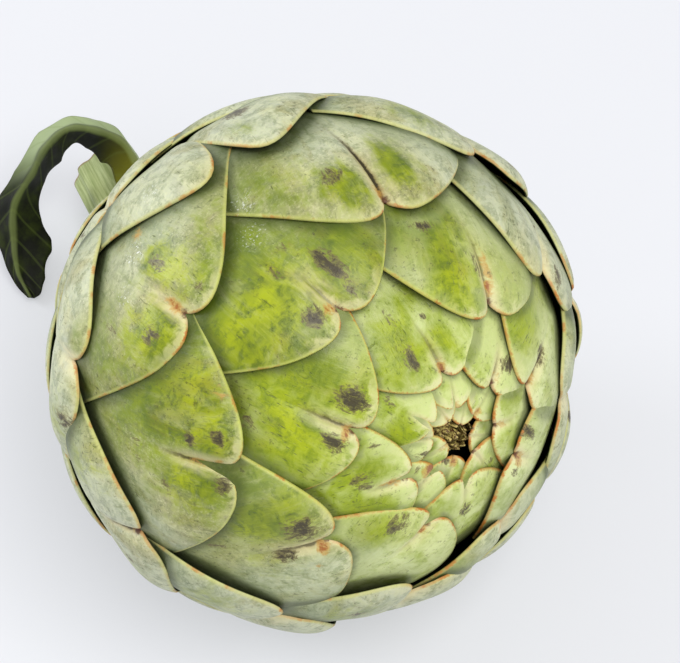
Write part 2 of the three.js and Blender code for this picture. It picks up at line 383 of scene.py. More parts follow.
# How many mm the fold runs down from the notch, and how strong it is.
PLAIN_FOLD = (8, 0.2)
FOLDS = {
    13: (7, 0.5), 14: (8, 0.5), 16: (12, 0.5), 18: (10, 0.8), 19: (12, 0.8), 21: (16, 0.6),
    22: (12, 0.8), 24: (12, 0.5), 27: (15, 1.1), 29: (24, 1.4), 32: (8, 0.4), 35: (12, 1),
}
print("bracts on the spiral:", BRACT_COUNT)

# %% [markdown]
# ## Bloom, rubbed flesh and bruises
#
# The outer bracts carry a pale wax, the bloom, that makes them grey-green. It is thin on
# the side that hands have held. Where a lobe bulges the wax is rubbed off and the flesh
# shows lime green. A bruise is a grey-brown smudge, most often on the same bulge, and an
# orange-brown stain marks most notches. All of these are soft spots that the points of the
# mesh carry, and the material breaks them up with finer noise. Tables hold the spots of the
# bracts that show best, and the others get theirs by a repeatable draw.

# %% Where the spots are
# For each bract: mm from the midline, mm below the notch, half width, half length, strength.
RUBS = {
    11: [(3, 5, 2.5, 3.5, 0.8)],
    14: [(-4, 6, 3.5, 5, 0.8), (3, 8, 2.5, 5, 0.7)],
    16: [(5, 8, 5, 8, 1), (-2, 5, 3, 5, 0.7), (0, 14, 6, 4, 0.7)],
    17: [(-8, 6, 4, 5, 0.7)],
    19: [(-6, 10, 5, 8, 1), (3, 10, 5, 8, 1), (10, 14, 5, 9, 0.8), (-1, 20, 9, 4, 0.6)],
    21: [(8, 9, 5, 8, 1), (3, 15, 4, 6, 0.7), (14, 16, 3, 5, 0.5)],
    22: [(-8, 9, 4, 7, 0.9), (2, 11, 4, 7, 0.6)],
    24: [(-11, 8, 3, 9, 1), (9, 8, 6, 7, 0.6), (2, 12, 2.5, 7, 0.5), (-4, 4, 2, 4, 0.5),
         (16, 12, 5, 9, 1)],
    26: [(7, 10, 3, 6, 0.5)],
    27: [(-12, 11, 6, 9, 1), (4, 6, 4, 5, 0.5)],
    29: [(6, 4.5, 4, 5, 0.9), (-4.5, 6, 2.5, 7, 1)],
    32: [(5, 4, 5, 5.5, 1), (-4, 11, 5.5, 6, 1)],
    37: [(-5, 5, 3, 4, 0.5)],
}
BRUISES = {
    9: [(-3, 1.5, 0.8, 1, 0.6)],
    11: [(-0.5, 9, 0.9, 1.4, 0.7)],
    14: [(-2.3, 7.3, 2.2, 2.6, 0.6), (-8.6, 3.6, 0.8, 2, 0.5)],
    15: [(4.2, -0.2, 1.3, 2.6, 0.9), (-2.9, 0.8, 0.9, 1.4, 0.7)],
    16: [(4.3, 5.3, 1.3, 2.6, 0.9), (-1.9, 10, 0.9, 1, 0.6), (3.5, 12.9, 0.8, 2.4, 0.6)],
    17: [(-6.3, 1.9, 2, 2.6, 0.8)],
    18: [(0.6, 5.9, 1.8, 2.4, 0.9)],
    19: [(-4.8, 2.6, 2.2, 3, 1), (2.8, 2.4, 1.6, 2.4, 1), (7.2, 17, 0.5, 2, 0.9),
         (8.1, 2.5, 0.6, 2.2, 0.6), (5.6, 17.6, 0.4, 1.4, 0.8)],
    21: [(9.7, 15.2, 2.6, 1.1, 0.95), (1.6, 6.4, 0.9, 2.4, 0.8), (-1.4, 4.6, 0.7, 1.2, 0.6)],
    22: [(-5, 3, 2.8, 3.4, 0.9), (0.9, 8, 2, 2.4, 0.8), (-2.5, 20.7, 0.7, 2.4, 0.8)],
    24: [(-4.6, 6.4, 1.5, 4.4, 1.05), (-3.7, 0.8, 0.9, 2, 0.7), (3.9, 2.1, 1.9, 2, 1),
         (-1.8, 14.8, 0.7, 2, 0.6), (2.5, 12.5, 0.8, 2.2, 0.7)],
    25: [(-10.2, 7.4, 3, 2, 0.6)],
    26: [(-0.3, 12.3, 0.8, 1.3, 0.6), (-3.3, 1.7, 1.3, 3, 0.9)],
    27: [(-4.2, 6.3, 1.3, 1.3, 1.1), (-5.6, 1.1, 1.4, 1.2, 1.1), (0.9, 17.8, 0.7, 1.6, 0.9),
         (3.8, 16.7, 0.7, 1.4, 0.9), (6.4, 10.3, 1.4, 0.9, 0.8), (2.9, -0.5, 1.8, 1.8, 0.8)],
    29: [(7.3, 6.9, 2.4, 2.4, 0.75)],
    32: [(-4.1, 10.3, 1.1, 2.6, 0.9), (-5.3, -0.5, 1, 1.4, 0.6), (6, 3.1, 1.8, 2, 0.75),
         (10, 13, 0.9, 2.5, 0.6)],
    37: [(-8.8, 17.5, 2.4, 5.5, 1), (-3, 5, 1.5, 2, 0.4)],
}
# Orange-brown stains, most of them beside a notch.
STAINS = {
    9: [(-1, 0.5, 1.4, 1.6, 1)],
    14: [(0, 2.5, 1, 2.6, 1)],
    15: [(-0.5, 0.8, 1.6, 1.8, 1)],
    19: [(0.8, 0.9, 1.6, 1.2, 1)],
    20: [(-1, 1, 1.4, 2, 0.9)],
    21: [(-0.9, 6, 0.6, 4.5, 1), (-0.6, 2.6, 0.9, 1.6, 1)],
    22: [(1.2, 1.2, 2, 1.3, 1), (4.5, 4, 1.2, 1.6, 0.6)],
    24: [(1.2, 1.2, 1.8, 1.4, 1)],
    26: [(0.3, 1.5, 1.2, 2, 0.9)],
    27: [(0.1, 3, 0.8, 5, 1), (-1, 0.8, 1.2, 1, 0.8), (-13.3, 2.2, 1.4, 1.8, 0.7)],
    29: [(0.6, 1.4, 1.2, 2.2, 1)],
    32: [(-0.4, 2.4, 1.2, 2.6, 1), (-5.9, 20.4, 1.8, 2.4, 0.8)],
    37: [(0.5, 1.5, 1.2, 2, 0.7)],
}
# Where the wax is wet: it is glossier there, and its drops carry painted white glints.
WET = {
    24: [(-0.3, 21, 4, 4, 0.5)],
    29: [(22.5, 12, 3.5, 4, 0.5)],
    32: [(-2.8, 18.3, 2.2, 3, 1), (4, 14, 3, 4, 0.5)],
    37: [(14, 7, 3, 3, 0.6)],
}


def strongest(spots, across, down):
    """How strong the strongest of these soft spots is here."""
    worst = 0
    for middle, below, width, length, strength in spots:
        spread = ((across - middle) / width) ** 2 + ((down - below) / length) ** 2
        worst = max(worst, strength * math.exp(-spread))
    return worst


# %% Bloom and spots by a draw
HANDLED = Vector((-0.2, -0.56, 0.8)).normalized()
BLOOM_START = 22  # degrees from the middle of the handled side
BLOOM_SPAN = 40  # degrees until the wax is at its thickest
BLOOM_PATCHES = 26  # degrees that its edge wanders
PATCHES_PER_MM = 0.045


def bloom_at(place):
    outward = (place - head_middle).normalized()
    away = math.degrees(outward.angle(HANDLED))
    wander = noise.noise(place / MM * PATCHES_PER_MM) * BLOOM_PATCHES
    return clamp((away + wander - BLOOM_START) / BLOOM_SPAN)


def draw(number, kind):
    """A repeatable draw between -1 and 1 for one bract."""
    value = math.sin(12.9898 * (number + 1) + 78.233 * (kind + 1)) * 43758.5453
    return 2 * (value - math.floor(value)) - 1


def drawn_rubs(number, half_width):
    """One soft rub on each lobe."""
    below = 0.28 * half_width + 2 * draw(number, 9)
    return [
        (side * 0.4 * half_width, below, 0.24 * half_width, 0.36 * half_width,
         clamp(0.3 + 0.4 * draw(number, 10 + side)))
        for side in (-1, 1)]


def drawn_bruises(number, half_width):
    """One bruise a few mm below the notch, on either side."""
    chance = [draw(number, kind) for kind in range(4, 9)]
    return [(
        chance[0] * 0.5 * half_width, 4 + 4 * chance[1],
        1.3 + 0.6 * chance[2], 2.4 + 1.4 * chance[3], clamp(0.5 + chance[4]))]


def drawn_stains(number):
    """One small stain at the notch."""
    return [(0, 1, 1.1, 1.6, 0.6 + 0.4 * draw(number, 14))]


print("bracts with bruises set by hand:", len(BRUISES))

# %% [markdown]
# ## One bract's place and size
#
# A bract grows wider with its distance from the crown, and narrower again toward the stem.
# The innermost ones have a single round tip, and the two lobes part a little further out.

# %% One bract's place and size
FULL_HALF_WIDTH = 29.5
FIRST_HALF_WIDTH = 3
WIDTH_GROWTH = 20
WIDTH_RISE = 1.5
SHRINK_START = 90
SHRINK_SPAN = 75
SHRINK_LIMIT = 0.85
SLOPE = 0.065  # how fast the blade dives from its tip to its root
CROWN_SLOPE = 0.22  # what the innermost bracts add to that
CROWN_REACH = 12
LOOSE_LIFT = 1.2
MARGIN_BOW = 0.75
LOBE_HEIGHT = 0.155
LOBES_FROM = (4, 11)  # degrees from the crown over which the lobes grow


class Bract:
    """The place, the size and the spots of the bract with this number."""

    def __init__(self, number):
        self.number = number
        nominal = read_table(NOTCH_SPACING, number)
        freedom = clamp((nominal - LOOSE_START) / LOOSE_SPAN)
        drawn = [limit * freedom * draw(number, kind) for kind, limit in enumerate(LOOSENESS)]
        row = LEAN.get(number, drawn)
        turn, slide, twist, breadth = (*row, *(PLAIN_TWIST, 1)[len(row) - 2:])
        self.azimuth = math.radians(FIRST_AZIMUTH + GOLDEN_ANGLE * number + turn)
        self.polar = nominal + slide
        self.twist = math.radians(twist)
        grown = 1 - math.exp(-((self.polar / WIDTH_GROWTH) ** WIDTH_RISE))
        shrink = clamp((self.polar - SHRINK_START) / SHRINK_SPAN, 0, SHRINK_LIMIT)
        self.half_width = (
            lerp(FIRST_HALF_WIDTH, FULL_HALF_WIDTH, grown)
            * math.cos(shrink * math.pi / 2))
        self.slope = SLOPE + CROWN_SLOPE * math.exp(-self.polar / CROWN_REACH)
        self.lift = LIFT.get(number, LOOSE_LIFT * freedom * abs(draw(number, 3)))
        self.bow = MARGIN_BOW / (breadth * self.half_width)
        self.lobe = LOBE_HEIGHT * self.half_width * smooth(self.polar, *LOBES_FROM)
        self.split = SPLIT.get(number, 0)
        self.fold_length, self.fold_strength = FOLDS.get(number, PLAIN_FOLD)
        self.spots = {
            "rubbed": RUBS.get(number, drawn_rubs(number, self.half_width)),
            "bruise": BRUISES.get(number, drawn_bruises(number, self.half_width)),
            "stain": STAINS.get(number, drawn_stains(number)),
            "wet": WET.get(number, []),
        }


spiral = [Bract(number) for number in range(BRACT_COUNT)]
print("widest bract, mm:", round(2 * max(bract.half_width for bract in spiral), 1))

# %% [markdown]
# ## One bract
#
# A bract is a fleshy, spoon-shaped scale. Its top edge has two round lobes with a narrow
# notch between them, and a crease runs down from the notch. The blade is thin at the rim
# and thicker below, and it hugs the globe, a little deeper toward its root, so that the
# next bract can lie over it.
#
# Each blade starts as a flat grid. The grid is extruded into two skins, and every point
# of both is then moved to its place on the globe. Rows crowd toward the rim and columns
# toward the notch, where the shape needs them. At the rim the two skins curve together,
# which gives it a round edge that catches the light.

# %% The outline of a bract
NOTCH_WIDTH = 0.075
MARGIN_WAVES = 0.012


def margin_at(bract, across):
    """How far the margin lies below the notch, and how much it slants there."""
    half_width = bract.half_width
    notch_width = NOTCH_WIDTH * half_width
    bow = bract.bow * across ** 2
    notch = (bract.lobe + bract.split) * math.exp(-abs(across) / notch_width)
    wave = MARGIN_WAVES * half_width * noise.noise(
        Vector((across / half_width * 3.5, bract.number * 7.3, 0.5)))
    slant = math.hypot(1, 2 * bract.bow * abs(across) - notch / notch_width)
    return bow - bract.lobe + notch + wave, slant


# %% From the flat outline to the globe
ARC_RADIUS = 50
DIVE = 0.0006
LIFT_REACH = 17
CREASE_DEPTH = 0.9
CREASE_WIDTH = 1.6
CREASE_LENGTH = 13
FOLD_DEPTH = 0.5  # at a strength of 1
FOLD_WIDTH = 0.8
EDGE_THICKNESS = 0.65
THICKENING = 0.05
LOBE_PUFF = 0.9
PUFF_BELOW_RIM = 7
RIM_CURL = 0.8
RIM_CURL_REACH = 2.6
WAVINESS = 0.5
INNER_SKIN_HEIGHT = 0.5  # how far above the table the inside of a bract stays


def toward_point(bract, down, across):
    """The direction out to a point of a bract, before the bract is turned about the axis."""
    lengthwise = down * math.cos(bract.twist) + across * math.sin(bract.twist)
    sideways = across * math.cos(bract.twist) - down * math.sin(bract.twist)
    polar = math.radians(bract.polar) + lengthwise / ARC_RADIUS
    side = sideways / ARC_RADIUS
    return Vector((
        math.cos(side) * math.sin(polar), math.sin(side), math.cos(side) * math.cos(polar)))


def beyond_margin(bract, outward):
    """How many mm outside the margin of a bract this direction lies, below 0 under it."""
    turned = outward.copy()
    turned.rotate(Matrix.Rotation(-bract.azimuth, 3, "Z"))
    lengthwise = (math.atan2(turned.x, turned.z) - math.radians(bract.polar)) * ARC_RADIUS
    sideways = math.asin(clamp(turned.y, -1, 1)) * ARC_RADIUS
    down = lengthwise * math.cos(bract.twist) - sideways * math.sin(bract.twist)
    across = lengthwise * math.sin(bract.twist) + sideways * math.cos(bract.twist)
    half_width = bract.half_width
    margin, slant = margin_at(bract, clamp(across, -half_width, half_width))
    above = (margin - down) / slant
    beside = abs(across) - half_width
    if above > 0 and beside > 0:
        return math.hypot(above, beside)
    return max(above, beside)


def on_head(bract, down, across, rim, depth):
    """The point `down` mm below the notch and `across` mm from the midline.

    `rim` is its distance from the margin, and `depth` is 0 on the outside, 1 inside."""
    outward = toward_point(bract, down, across)
    below_tip = (math.acos(outward.z) - math.radians(bract.polar)) * ARC_RADIUS + bract.lobe
    dive = bract.slope * below_tip + DIVE * below_tip * abs(below_tip)
    lift = bract.lift * math.exp(-((below_tip / LIFT_REACH) ** 2))
    scale = bract.half_width / FULL_HALF_WIDTH
    crease = CREASE_DEPTH * scale ** 0.5 * math.exp(
        -((across / (CREASE_WIDTH * scale)) ** 2) - ((down / (CREASE_LENGTH * scale)) ** 2))
    crease += FOLD_DEPTH * bract.fold_strength * math.exp(
        -abs(across / (FOLD_WIDTH * scale)) - (down / bract.fold_length) ** 2)
    lobes = math.sin(math.pi * clamp(abs(across) / bract.half_width)) ** 2
    above_puff = max(0, rim) / (PUFF_BELOW_RIM * scale)
    puff = LOBE_PUFF * scale * lobes * above_puff * math.exp(1 - above_puff)
    curl = RIM_CURL * scale ** 0.5 * math.exp(-rim / (RIM_CURL_REACH * scale ** 0.5))
    wave = WAVINESS * scale * noise.noise(
        Vector((across * 0.07, down * 0.05, bract.number * 3.1)))
    round_off = EDGE_THICKNESS / 2
    if rim < round_off:
        round_off -= math.sqrt(round_off ** 2 - (round_off - rim) ** 2)
    else:
        round_off = 0
    thickness = EDGE_THICKNESS + THICKENING * max(0, rim) - 2 * round_off
    inset = dive + crease + curl - lift - puff - wave + round_off + depth * thickness
    outward.rotate(Matrix.Rotation(bract.azimuth, 3, "Z"))
    place = Vector((
        outward.x * (HEAD_RADIUS - inset),
        outward.y * (HEAD_RADIUS - inset),
        outward.z * (HEAD_HALF_HEIGHT - inset),
    ))
    place = head_place @ (place * MM)
    place.z = max(place.z, depth * INNER_SKIN_HEIGHT * MM)
    return place


# %% [markdown]
# Along with its place, each point remembers where on its bract it is: its distance from
# the rim, from the midline and down from the notch. It also remembers its soft spots, and
# how clear it lies of the bracts that cover this one. The material reads these numbers as
# attributes. That way the yellow rim follows the rim, the veins follow the blade and the
# painted shade follows the neighbours, on sixty-one bracts with one material.

# %% Make a bract
FINE_GRID = (56, 34)
SMALL_GRID = (28, 20)
SMALL_HALF_WIDTH = 14
ROOT_NARROWING = 0.72
ROOT_LENGTH = 14
ROOT_PER_WIDTH = 1.25
COLUMN_BUNCHING = 1.3
ROW_BUNCHING = 1.5
# The bracts that lie over a bract are this many places further along the spiral.
COVERING_STEPS = (2, 3, 5, 8, 13)
CLEAR_RANGE = (-2, 12)
CROWN_FADE = (8, 42)  # degrees over which the look of the young bracts ends
MARKS = (
    "across", "down", "rim", "depth", "strand", "seed", "size", "bloom", "rubbed", "crown",
    "fold", "bruise", "stain", "wet", "clear")


def two_skins(columns, rows):
    """A flat grid from -1 to 1 with a second one above it, at z = 1, closed all round."""
    mesh = bmesh.new()
    bmesh.ops.create_grid(mesh, x_segments=columns, y_segments=rows, size=1)
    raised = bmesh.ops.extrude_face_region(mesh, geom=mesh.faces[:])
    raised = [part for part in raised["geom"] if isinstance(part, bmesh.types.BMVert)]
    bmesh.ops.translate(mesh, verts=raised, vec=(0, 0, 1))
    return mesh


def clearance(covering, outward):
    """How many mm this direction lies outside the nearest margin of the covering bracts."""
    return min(
        [clamp(beyond_margin(other, outward), *CLEAR_RANGE) for other in covering],
        default=CLEAR_RANGE[1])


def bract_mesh(bract, covering):
    half_width = bract.half_width
    mesh = two_skins(*(SMALL_GRID if half_width < SMALL_HALF_WIDTH else FINE_GRID))
    layers = {name: mesh.verts.layers.float.new(name) for name in MARKS}
    length = ROOT_LENGTH + ROOT_PER_WIDTH * half_width
    for point in mesh.verts:
        x, y, depth = point.co
        bunched = math.copysign(abs(x) ** COLUMN_BUNCHING, x)
        edge = half_width * math.sin(bunched * math.pi / 2)
        margin, slant = margin_at(bract, edge)
        down = lerp(margin, length, ((1 - y) / 2) ** ROW_BUNCHING)
        narrowing = smooth((length - down) / (length - margin), 0, 1)
        across = edge * lerp(ROOT_NARROWING, 1, narrowing)
        rim = (down - margin) / slant
        point.co = on_head(bract, down, across, rim, depth)
        outward = toward_point(bract, down, across)
        outward.rotate(Matrix.Rotation(bract.azimuth, 3, "Z"))
        marks = {
            "across": across,
            "down": down,
            "rim": rim,
            "depth": depth if rim > 0.02 else 0.5,  # the two skins meet at the rim
            "strand": edge,
            "seed": bract.number,
            "size": (half_width / FULL_HALF_WIDTH) ** 0.6,
            "bloom": bloom_at(point.co),
            "crown": 1 - smooth(bract.polar, *CROWN_FADE),
            "fold": bract.fold_strength * (
                1 - smooth(down, 0.3 * bract.fold_length, bract.fold_length)),
            "clear": clearance(covering, outward),
        }
        for name, spots in bract.spots.items():
            marks[name] = strongest(spots, across, down)
        for name in MARKS:
            point[layers[name]] = marks[name]
    bmesh.ops.remove_doubles(mesh, verts=mesh.verts[:], dist=0.002 * MM)
    bmesh.ops.recalc_face_normals(mesh, faces=mesh.faces[:])
    return mesh


# %% [markdown]
# ## Flesh
#
# One material dresses all bracts. Its layers follow the real thing from the inside out:
# lime flesh with darker mottles and fine veins along the blade, the wax over it, and the
# paler flesh of the crown. Then come painted shade under the neighbours, dark specks and
# scratches, the thin yellow rim that turns orange here and there, the brown notch with a
# cream streak below it and painted shade in the fold, the stains, the bruises, painted
# shade on the inner side and under the rim, and a few drops of water with painted glints.
#
# Each layer is one line: the skin so far, the layer's colour, and how much of it shows.

# %% Flesh: noises at several sizes
flesh = Finish("bract_flesh")
(across, down, rim, depth, strand, seed, size, bloom, rubbed, crown, fold, bruise, stain, wet,
 clear) = [flesh.attribute(name) for name in MARKS]

along_blade = flesh.vector(strand, down * 0.16, seed * 5.7)
over_blade = flesh.vector(strand, down, seed * 9.1)
veins = flesh.noise(along_blade, 1.7, 2.0, 0.6, 0.5)
streaks = flesh.noise(along_blade, 0.42, 4.0, 0.62, 0.4)
clouds = flesh.noise(over_blade, 0.09, 3.0, 0.55, 0.6)
mottles = flesh.noise(over_blade, 0.38, 4.0, 0.66, 0.5)
grain = flesh.noise(over_blade, 2.2, 3.0, 0.6)
dust = flesh.noise(over_blade, 1.3, 5.0, 0.8).fade(0.45, 0.7)

# %% Flesh: green
green = flesh.mix(tint(104, 122, 2), tint(168, 180, 4), clouds.fade(0.3, 0.7))
green = flesh.mix(green, tint(66, 90, 10), mottles.fade(0.48, 0.72) * 0.75)
green = flesh.mix(green, tint(196, 202, 84), veins.fade(0.5, 0.8) * 0.25)

# %% Flesh: wax
margin_pale = (1 - (rim + (mottles - 0.5) * 5).fade(0.8, 6)) * (1 - bloom * 0.6)
midline_pale = 1 - (across.abs() / size + (mottles - 0.5) * 4).fade(0.6, 4.5)
pale = margin_pale.larger(midline_pale * (1 - (down / size).fade(8, 30)))
wax = (
    bloom * 1.1 - rubbed * 1.3 + pale * 0.4 + (clouds - 0.5) * 1.5
    + (mottles - 0.5) * 1.3 + (streaks - 0.5) * 1.6 + (grain - 0.5) * 0.4)
wax_cover = wax.fade(-0.15, 0.95)
wax_colour = flesh.mix(
    tint(124, 144, 46), tint(182, 180, 130),
    (bloom * 1.2 + mottles * 1.2 + (clouds - 0.5)).fade(0.8, 1.7))
lilac = flesh.noise(over_blade, 0.14, 4.0, 0.7, 0.8).fade(0.48, 0.66) * bloom
wax_colour = flesh.mix(wax_colour, tint(156, 144, 124), lilac * 0.7)
wax_colour = flesh.mix(wax_colour, tint(196, 204, 186), bloom.fade(0.6, 1) * 0.75)
skin = flesh.mix(green, wax_colour, wax_cover * 0.9)

# %% Flesh: pale, olive and dusty patches
pallor = flesh.noise(flesh.vector(strand, down * 0.35, seed * 3.3), 0.22, 5.0, 0.68, 0.6)
skin = flesh.mix(skin, tint(206, 208, 160), pallor.fade(0.48, 0.72) * (0.6 - rubbed * 0.5))
skin = flesh.mix(skin, tint(84, 98, 20), (1 - pallor.fade(0.3, 0.46)) * 0.5)
olive = flesh.noise(flesh.vector(strand, down * 0.5, seed * 2.1), 0.12, 4.0, 0.65, 0.8)
skin = flesh.mix(skin, tint(140, 130, 52), olive.fade(0.48, 0.68) * (0.5 - rubbed * 0.2))
skin = flesh.mix(skin, tint(218, 218, 176), dust * wax_cover * 0.35)
skin = flesh.mix(skin, tint(76, 96, 30), (1 - dust) * mottles.fade(0.42, 0.62) * 0.4)

# %% Flesh: the crown and the painted shade under the neighbours
young = flesh.mix(
    tint(222, 234, 160), tint(162, 184, 16),
    (clouds + (mottles - 0.5) * 0.6 + rubbed * 0.35).fade(0.42, 0.8))
skin = flesh.mix(skin, young, crown * (0.9 - rubbed * 0.6))
# Painted shade: darker green over several mm where a covering neighbour's margin lies near, and
# a near-black line right beside it.
painted_neighbour_shade = 1 - (clear + (mottles - 0.5) * 4).fade(-0.5, 9)
skin = flesh.mix(skin, tint(78, 102, 16), painted_neighbour_shade * (0.48 - crown * 0.28))
painted_contact_shade = 1 - (
    (clear + (mottles - 0.5) * 2 + (streaks - 0.5) * 2) / (1 - crown * 0.6)).fade(0, 3.2)
skin = flesh.mix(skin, tint(38, 52, 8), painted_contact_shade * (0.68 - crown * 0.26))

# %% Flesh: specks and scratches
specks = mottles.fade(0.52, 0.68) * grain.fade(0.54, 0.66)
skin = flesh.mix(skin, tint(66, 78, 28), specks * 0.5)
pepper = flesh.noise(flesh.vector(strand, down * 0.7, seed * 4.4), 1.5, 4.0, 0.7, 0.3)
clustered = olive.fade(0.46, 0.6).larger(pallor.fade(0.52, 0.64))
skin = flesh.mix(skin, tint(58, 58, 28), pepper.fade(0.56, 0.66) * clustered * 0.6)
scratch = flesh.noise(along_blade, 2.6, 2.0, 0.5).fade(0.62, 0.74) * clouds.fade(0.45, 0.6)
skin = flesh.mix(skin, tint(72, 84, 30), scratch * 0.7)

# %% Flesh: cream tips and the rim
from_notch = flesh.distance(across, down) / size
cream_tip = (1 - (rim + (mottles - 0.5) * 6 + (streaks - 0.5) * 4).fade(0.4, 2.2)) * (
    1 - from_notch.fade(5, 13)) * (1 - bloom * 0.6)
skin = flesh.mix(skin, tint(226, 220, 178), cream_tip * 0.5)
at_rim = 1 - rim.fade(0.1, 0.75)
rim_colour = flesh.mix(tint(212, 220, 116), tint(196, 196, 124), bloom)
skin = flesh.mix(skin, rim_colour, at_rim * (0.3 + 0.7 * streaks))
rust = flesh.noise(over_blade, 0.3, 2.0).fade(0.5, 0.66) + (1 - from_notch.fade(2, 8)) * 0.9
orange_line = (1 - (rim + (grain - 0.5)).fade(0.1, 0.5)) * (crown * 0.6 + rust * 0.7)
skin = flesh.mix(skin, tint(186, 120, 52), orange_line)

# %% Flesh: cream streak, and painted shade in the fold below the notch
cream = (1 - (across.abs() / size).fade(0.5, 3)) * (1 - (down / size).fade(3, 14))
skin = flesh.mix(skin, tint(226, 216, 170), cream * streaks.fade(0.3, 0.6) * 0.7)
# Painted shade in the fold: a brown fringe, partly the fold's own brown and partly shade, and a
# near-black line of shade in the crease itself.
off_line = (across + (mottles - 0.5) * 1.1).abs()
skin = flesh.mix(skin, tint(132, 100, 44), (1 - off_line.fade(0.2, 0.9)) * fold * 0.35)
skin = flesh.mix(skin, tint(50, 44, 16), (1 - off_line.fade(0.08, 0.45)) * fold * 0.9)

# %% Flesh: stains, the brown notch and bruises
torn = flesh.noise(flesh.vector(strand, down * 0.4, seed), 0.9, 5.0, 0.8, 0.8)
stained = stain + (mottles - 0.5) * 1.8 * stain.fade(0.02, 0.3) + (grain - 0.5) * 0.6
skin = flesh.mix(skin, tint(190, 148, 68), stained.fade(0.35, 0.75) * 0.7)
brown = flesh.mix(tint(152, 82, 24), tint(142, 86, 64), crown)
skin = flesh.mix(skin, brown, stained.fade(0.7, 1.0) * 0.85)
ragged = from_notch + (grain - 0.5) * 1.4 + (mottles - 0.5) * 2
skin = flesh.mix(skin, tint(84, 44, 24), (1 - ragged.fade(0.3, 1.1)) * 0.9)
smudge = bruise * 1.05 + (torn - 0.5) * 2.8 * bruise.fade(0.05, 0.4) + (grain - 0.5) * 0.6
skin = flesh.mix(skin, tint(104, 94, 58), smudge.fade(0.3, 0.6) * 0.8)
skin = flesh.mix(skin, tint(52, 44, 36), smudge.fade(0.55, 0.95) * 0.85)

# %% Flesh: painted shade on the inner side, drops with painted glints, shine and relief
# Painted shade: the inner skin, and the lower half of the rounded rim, are dark green, which
# draws a thin dark shadow line under each margin.
skin = flesh.mix(skin, tint(38, 52, 18), depth.fade(0.35, 0.65))
# Painted highlights: white glints on the drops of water, where the wax is wet.
drops_and_glints = flesh.noise(over_blade, 1.9, 2.0, 0.6).fade(0.58, 0.66) * wet.fade(0.15, 0.75)
skin = flesh.mix(skin, tint(246, 252, 246), drops_and_glints * 0.85)
relief = veins * 0.5 + grain * 0.35 + mottles * 0.7 - scratch * 0.5 - specks * 0.4 + drops_and_glints
roughness = 0.38 + wax_cover * 0.12 + (grain - 0.5) * 0.14 - wet.fade(0.1, 0.6) * 0.16
flesh.surface({
    "Base Color": skin,
    "Roughness": roughness,
    "Normal": flesh.bump(relief, 0.16 * MM, 0.7),
    "Specular IOR Level": 0.4,
    "Subsurface Weight": 0.06,
    "Subsurface Radius": (0.002, 0.003, 0.001),
})
print("nodes in the flesh:", len(flesh.tree.nodes))

# %% Grow the head
bracts = []
for number, bract in enumerate(spiral):
    covering = [spiral[number + step] for step in COVERING_STEPS if number + step < BRACT_COUNT]
    piece = add_object(f"bract_{number:02d}", bract_mesh(bract, covering))
    piece.data.materials.append(flesh.material)
    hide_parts("head")
    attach(piece, "root")
    bracts.append(piece)
print("faces on the bracts:", sum(len(piece.data.polygons) for piece in bracts))

# %% [markdown]
# ## The core
#
# Between the bracts one can look a few millimetres into the head, at the bases of more
# bracts in deep shade. A plain globe, painted the near-black green of that shade, stands
# there for them.

# %% Core
CORE_INSET_SIDE = 4.6
CORE_INSET_END = 9

core_mesh = bmesh.new()
bmesh.ops.create_uvsphere(core_mesh, u_segments=64, v_segments=40, radius=1)
bmesh.ops.scale(core_mesh, verts=core_mesh.verts[:], vec=(
    (HEAD_RADIUS - CORE_INSET_SIDE) * MM,
    (HEAD_RADIUS - CORE_INSET_SIDE) * MM,
    (HEAD_HALF_HEIGHT - CORE_INSET_END) * MM))
bmesh.ops.transform(core_mesh, verts=core_mesh.verts[:], matrix=head_place)
core = add_object("core", core_mesh)
shade_green = Finish("shade_green")
depths = shade_green.noise(shade_green.place(), 300.0, 3.0)
shade_green.surface({
    "Base Color": shade_green.mix(tint(10, 20, 8), tint(22, 36, 14), depths),
    "Roughness": 0.8,
})
core.data.materials.append(shade_green.material)
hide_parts("head")
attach(core, "root")
print("faces on the core:", len(core.data.polygons))

# %% [markdown]
# The hollow in the crown isn't empty. The innermost bracts stand in it as a tuft of
# narrow, dry, brown tips, each a thin blade that tapers upward and curls over the middle.

# %% Tips in the crown
TIP_COUNT = 27
TIP_RING = 4.7  # mm from the axis
TIP_FOOT = 37.5  # mm from the middle of the head
TIP_LENGTH = 10.4
TIP_HALF_WIDTH = 1.5

tuft_mesh = bmesh.new()
tip_height = tuft_mesh.verts.layers.float.new("height")
for number in range(TIP_COUNT):
    around = number * math.radians(GOLDEN_ANGLE)
    ring = TIP_RING * math.sqrt((number + 0.5) / TIP_COUNT)
    top = TIP_FOOT + TIP_LENGTH - 1.6 * abs(draw(number, 11)) - 0.2 * ring
    blade_grid = two_skins(4, 10)
    for point in blade_grid.verts:
        x, y, face = point.co
        along = (y + 1) / 2
        half_wide = TIP_HALF_WIDTH * (1 - along ** 4) + 0.15
        curl = 0.25 * ring * along ** 2 + 0.5 * draw(number, 12) * along
        bow = 0.35 * (1 - x * x)
        ripple = 0.25 * noise.noise(Vector((x * 2, along * 5, number * 4.4)))
        place = Vector((
            ring - curl + bow + ripple - 0.25 * face,
            x * half_wide + 0.5 * draw(number, 13) * along,
            lerp(TIP_FOOT, top, along)))
        place.rotate(Matrix.Rotation(around, 3, "Z"))
        point.co = head_place @ (place * MM)
    flat = bpy.data.meshes.new("tip")
    blade_grid.to_mesh(flat)
    first = len(tuft_mesh.verts)
    tuft_mesh.from_mesh(flat)
    tuft_mesh.verts.ensure_lookup_table()
    for point in tuft_mesh.verts[first:]:
        above_middle = (head_place.inverted() @ point.co).z / MM
        point[tip_height] = (above_middle - TIP_FOOT) / TIP_LENGTH
    blade_grid.free()
    bpy.data.meshes.remove(flat)
bmesh.ops.recalc_face_normals(tuft_mesh, faces=tuft_mesh.faces[:])
tuft = add_object("crown_tips", tuft_mesh)
